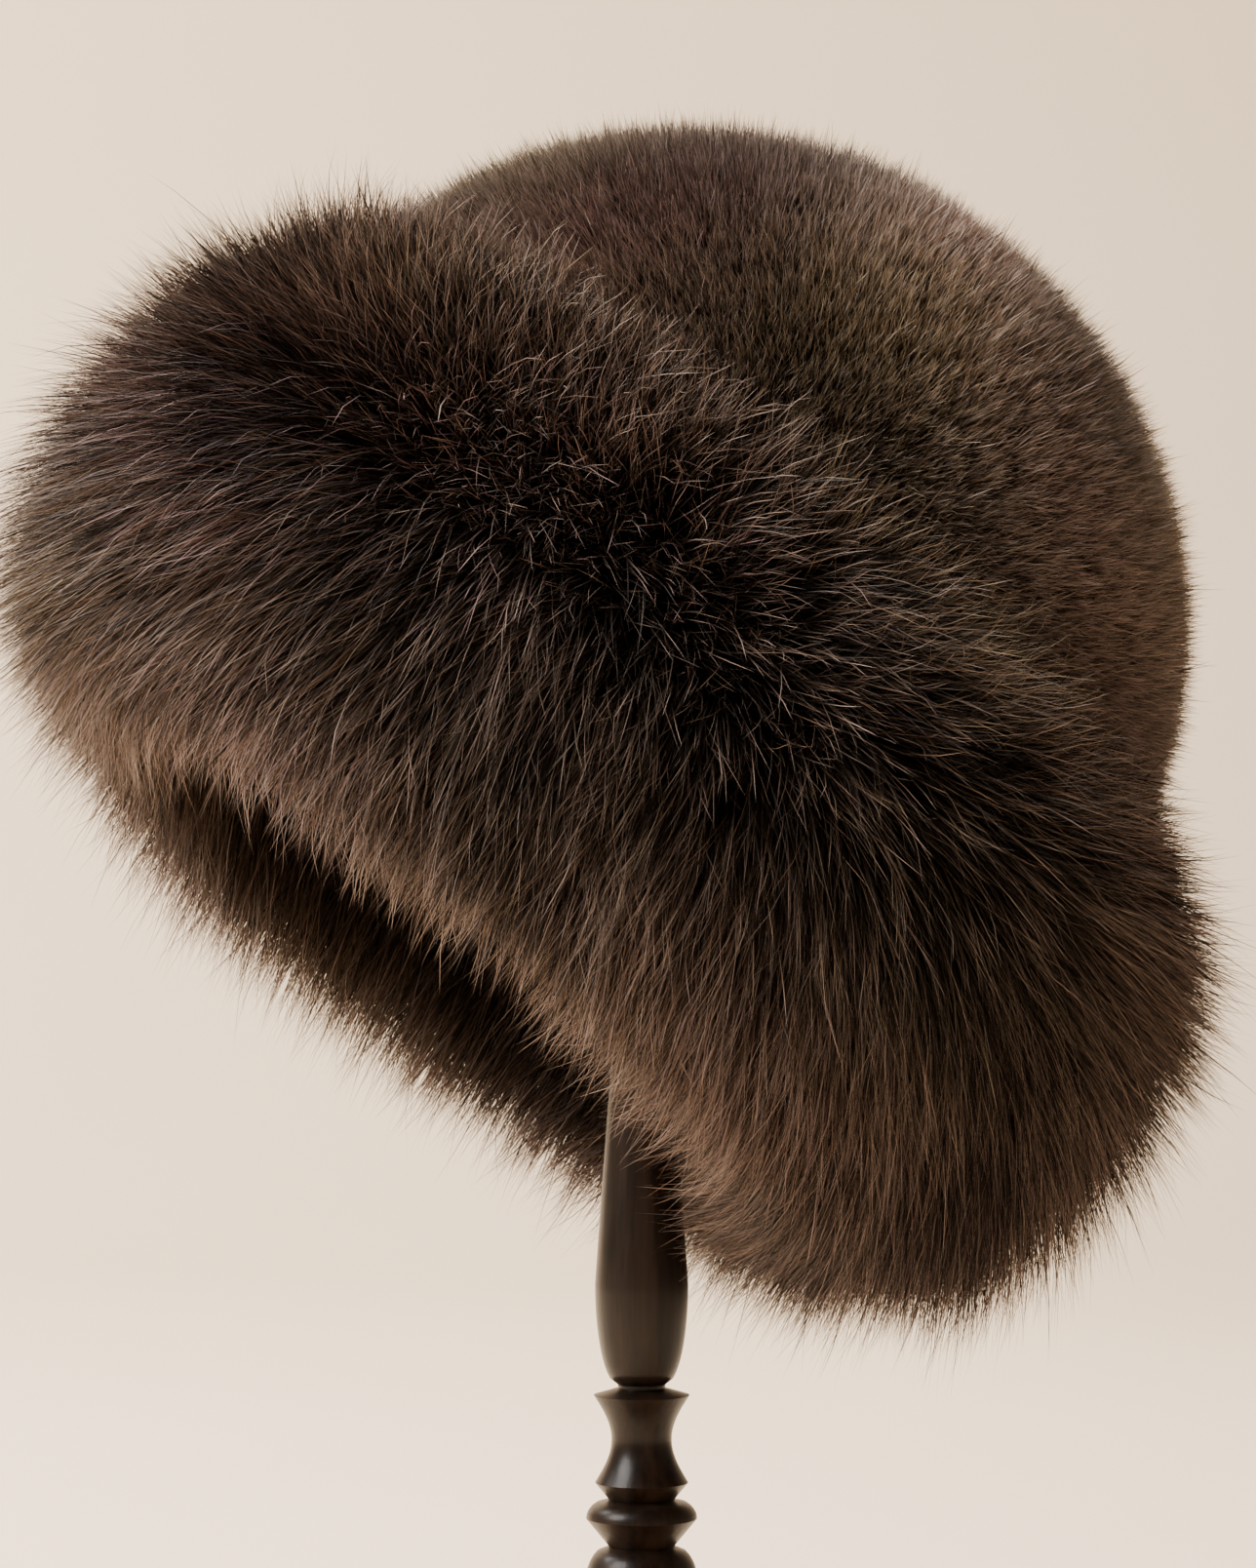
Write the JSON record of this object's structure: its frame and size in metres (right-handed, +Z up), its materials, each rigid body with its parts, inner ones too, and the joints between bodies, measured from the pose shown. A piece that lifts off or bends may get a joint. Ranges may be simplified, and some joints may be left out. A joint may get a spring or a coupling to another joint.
{
  "type": "fur hat on a turned wooden stand",
  "caption": "Round fur hat with a short plush dome crown and a deep brim of long hair, set aslant on a slender turned wooden hat stand.",
  "frame": {"origin": "centre of the stand base's underside", "axes": "+Z up along the stand's post, +X to the right of the picture, where the hat's low side is, +Y away from its camera"},
  "size_m": [0.2787, 0.2966, 0.415],
  "materials": {
    "crown_plush": "short dense pile",
    "brim_cloth": "plain dark backing cloth",
    "long_fur": "long fluffy hair, dark at the root",
    "stained_wood": "dark stain, satin"
  },
  "bodies": {
    "root": {"crown_top": "crown_plush", "crown_side": "crown_plush", "brim_wall": "brim_cloth", "brim_fur": "long_fur", "stand_base": "stained_wood", "stand_post": "stained_wood", "stand_cap": "stained_wood"}
  },
  "joints": []
}
